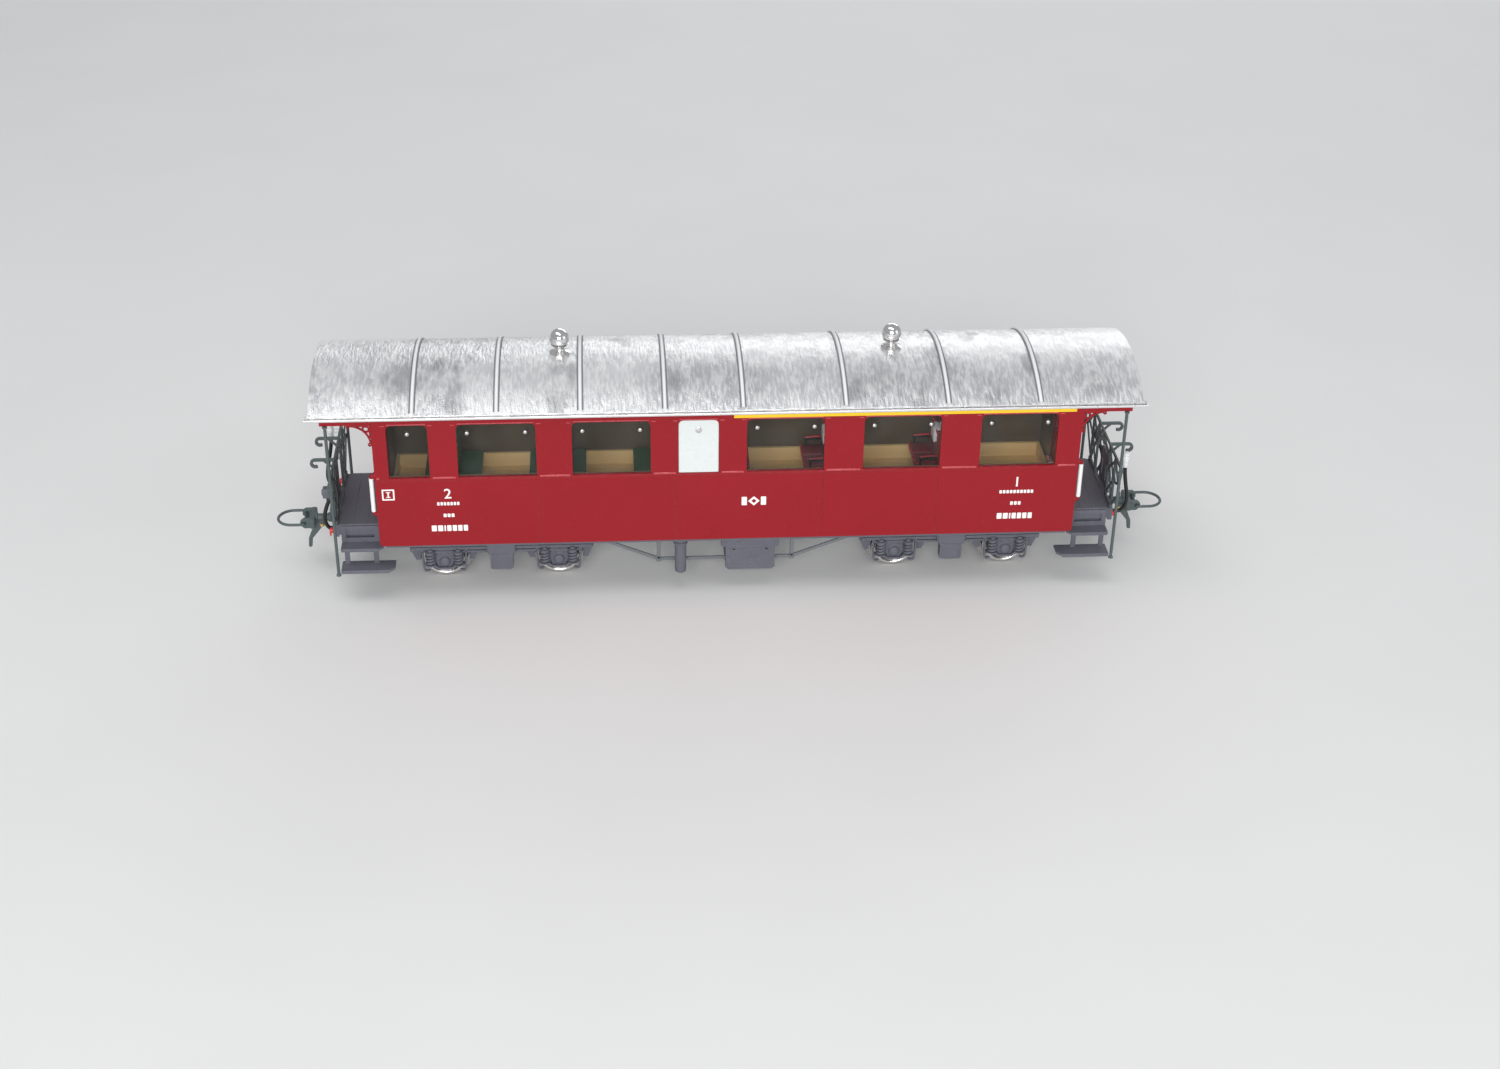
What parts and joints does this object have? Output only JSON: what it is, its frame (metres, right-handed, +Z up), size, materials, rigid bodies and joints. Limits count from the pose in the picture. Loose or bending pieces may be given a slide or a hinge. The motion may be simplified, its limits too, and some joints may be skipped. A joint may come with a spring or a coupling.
{
  "type": "model passenger coach",
  "caption": "Narrow-gauge bogie passenger coach model with open end platforms, lattice railings, arched ribbed roof, turning wheels, swivelling bogies and swinging loop couplers.",
  "frame": {"origin": "on the centre line midway between the bogies, level with the lowest points of the wheel flanges (bottom centre of the whole box)", "axes": "+X along the coach towards the right-hand end, +Y across it to the far side, +Z up"},
  "size_m": [0.1732, 0.0334, 0.0494],
  "materials": {
    "body_red": "satin carmine red enamel",
    "frame_grey": "matt blue-grey paint",
    "railing_grey": "satin grey-green paint on fine wire and etched strip",
    "roof_silver": "brushed-on silver-grey paint with a rough, streaked surface",
    "vent_chrome": "polished",
    "screw_steel": "bright turned",
    "wheel_metal": "chemically blackened, treads worn bright",
    "axle_steel": "turned",
    "door_brass": "polished",
    "window_clear": "clear pane",
    "pane_white": "opaque white",
    "rail_white": "gloss white paint",
    "stripe_yellow": "satin yellow",
    "tap_red": "gloss red",
    "hose_rubber": "matt black",
    "plug_white": "silvery white",
    "lamp_ivory": "translucent cover",
    "tray_tan": "moulded tan plastic",
    "seat_green": "satin dark green",
    "seat_wine": "wine red upholstery",
    "plinth_black": "black",
    "headrest_white": "white cloth",
    "partition_brown": "dark brown"
  },
  "bodies": {
    "coach": {"underframe": "frame_grey", "platform_floors": "frame_grey", "steps_left": "frame_grey", "steps_right": "frame_grey", "corner_posts": "railing_grey", "end_railings": "railing_grey", "gangway_plates": "frame_grey", "coupling_hook_arms": "railing_grey", "end_lamps": "lamp_ivory", "fascia_frames": "body_red", "side_near": "body_red", "side_far": "body_red", "end_wall_left": "body_red", "end_wall_right": "body_red", "end_doors": "body_red", "door_handles": "door_brass", "glazing": "window_clear", "toilet_pane": "pane_white", "window_knobs": "screw_steel", "grab_rails": "rail_white", "roof_sheet": "roof_silver", "roof_ribs": "roof_silver", "gutters": "roof_silver", "roof_vents": "vent_chrome", "class_stripes": "stripe_yellow", "truss_rods": "frame_grey", "toilet_pipe": "frame_grey", "battery_box": "frame_grey", "brake_cylinder": "frame_grey", "brake_taps": "tap_red", "brake_hoses": "hose_rubber", "heating_plugs": "plug_white", "heating_sockets": "frame_grey", "interior_tray": "tray_tan", "benches_second": "seat_green", "seats_first": "seat_wine", "seat_plinths": "plinth_black", "headrest_cloths": "headrest_white", "partitions": "partition_brown", "lead_posts": "plinth_black", "chassis_screws": "screw_steel"},
    "bogie_left": {"bogie_frame_left": "frame_grey", "axleguards_left": "frame_grey", "brake_shoes_left": "frame_grey"},
    "bogie_right": {"bogie_frame_right": "frame_grey", "axleguards_right": "frame_grey", "brake_shoes_right": "frame_grey"},
    "wheelset_1": {"axle_1": "axle_steel", "wheels_1": "wheel_metal"},
    "wheelset_2": {"axle_2": "axle_steel", "wheels_2": "wheel_metal"},
    "wheelset_3": {"axle_3": "axle_steel", "wheels_3": "wheel_metal"},
    "wheelset_4": {"axle_4": "axle_steel", "wheels_4": "wheel_metal"},
    "coupler_left_body": {"coupler_left": "railing_grey"},
    "loop_left": {"coupler_loop_left": "railing_grey"},
    "coupler_right_body": {"coupler_right": "railing_grey"},
    "loop_right": {"coupler_loop_right": "railing_grey"}
  },
  "joints": [
    {"name": "bogie_left_swivel", "type": "hinge", "parent": "coach", "child": "bogie_left", "pos_m": [-0.0433, 0, 0.0097], "axis": [0, 0, 1], "range_deg": [-10, 10]},
    {"name": "bogie_right_swivel", "type": "hinge", "parent": "coach", "child": "bogie_right", "pos_m": [0.0433, 0, 0.0097], "axis": [0, 0, 1], "range_deg": [-10, 10]},
    {"name": "wheelset_1_spin", "type": "hinge", "parent": "bogie_left", "child": "wheelset_1", "pos_m": [-0.0542, 0, 0.0052], "axis": [0, 1, 0], "continuous": true},
    {"name": "wheelset_2_spin", "type": "hinge", "parent": "bogie_left", "child": "wheelset_2", "pos_m": [-0.0324, 0, 0.0052], "axis": [0, 1, 0], "continuous": true},
    {"name": "wheelset_3_spin", "type": "hinge", "parent": "bogie_right", "child": "wheelset_3", "pos_m": [0.0324, 0, 0.0052], "axis": [0, 1, 0], "continuous": true},
    {"name": "wheelset_4_spin", "type": "hinge", "parent": "bogie_right", "child": "wheelset_4", "pos_m": [0.0542, 0, 0.0052], "axis": [0, 1, 0], "continuous": true},
    {"name": "coupler_left_swing", "type": "hinge", "parent": "coach", "child": "coupler_left_body", "pos_m": [-0.0665, 0, 0.0103], "axis": [0, 0, 1], "range_deg": [-12, 12]},
    {"name": "coupler_left_loop_lift", "type": "hinge", "parent": "coupler_left_body", "child": "loop_left", "pos_m": [-0.0811, 0, 0.0103], "axis": [0, 1, 0], "range_deg": [0, 60]},
    {"name": "coupler_right_swing", "type": "hinge", "parent": "coach", "child": "coupler_right_body", "pos_m": [0.0665, 0, 0.0103], "axis": [0, 0, 1], "range_deg": [-12, 12]},
    {"name": "coupler_right_loop_lift", "type": "hinge", "parent": "coupler_right_body", "child": "loop_right", "pos_m": [0.0811, 0, 0.0103], "axis": [0, -1, 0], "range_deg": [0, 60]}
  ]
}
